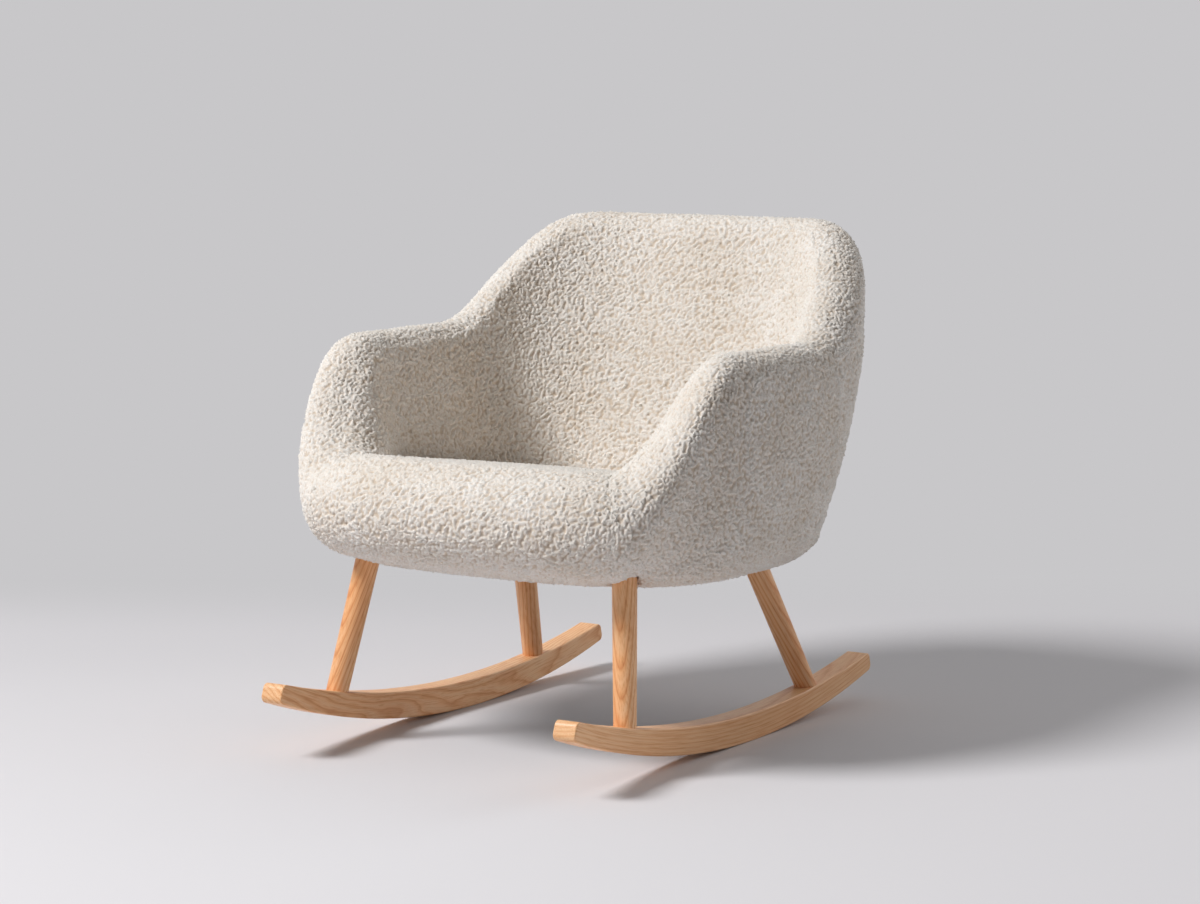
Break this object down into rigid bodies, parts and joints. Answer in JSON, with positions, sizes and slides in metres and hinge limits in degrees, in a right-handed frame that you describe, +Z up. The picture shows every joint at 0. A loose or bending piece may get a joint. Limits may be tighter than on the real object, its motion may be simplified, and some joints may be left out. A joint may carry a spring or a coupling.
{
  "type": "upholstered rocking chair",
  "caption": "Upholstered tub rocking chair in cream curly pile fabric, with a rolled front edge and low arms, on splayed turned wooden legs and curved wooden rockers.",
  "frame": {"origin": "on the floor, under the middle of the whole chair", "axes": "+Z up, the chair faces -Y, +X is the sitter's left"},
  "size_m": [0.7224, 0.8495, 0.7407],
  "materials": {
    "ash_wood": "clear satin lacquer over warm ash with open grain",
    "plate_steel": "black powder coat",
    "zinc_steel": "bright zinc plate",
    "plywood": "raw birch plywood",
    "base_timber": "planed pine, unfinished",
    "frame_steel": "black primer",
    "webbing": "woven elastic webbing",
    "felt": "needled grey felt",
    "foam": "cut polyurethane foam",
    "boucle": "curly cream pile",
    "non_woven": "black spun-bonded cloth"
  },
  "bodies": {
    "root": {"rocker_left": "ash_wood", "rocker_right": "ash_wood", "front_leg_left": "ash_wood", "front_leg_right": "ash_wood", "rear_leg_left": "ash_wood", "rear_leg_right": "ash_wood", "front_leg_plate_left": "plate_steel", "front_leg_plate_right": "plate_steel", "rear_leg_plate_left": "plate_steel", "rear_leg_plate_right": "plate_steel", "hanger_bolts": "zinc_steel", "leg_plate_screws": "zinc_steel", "plywood_deck": "plywood", "base_ring": "base_timber", "front_rail": "base_timber", "rim_hoop": "frame_steel", "back_post_left": "frame_steel", "back_post_right": "frame_steel", "side_post_left": "frame_steel", "side_post_right": "frame_steel", "flange_screws": "zinc_steel", "webbing_lengthwise": "webbing", "webbing_crosswise": "webbing", "seat_felt": "felt", "back_foam": "foam", "arm_foam_left": "foam", "arm_foam_right": "foam", "front_border_foam": "foam", "seat_foam": "foam", "outside_cover": "boucle", "inside_cover": "boucle", "front_border_cover": "boucle", "seat_cover": "boucle", "dust_cover": "non_woven"}
  },
  "joints": []
}
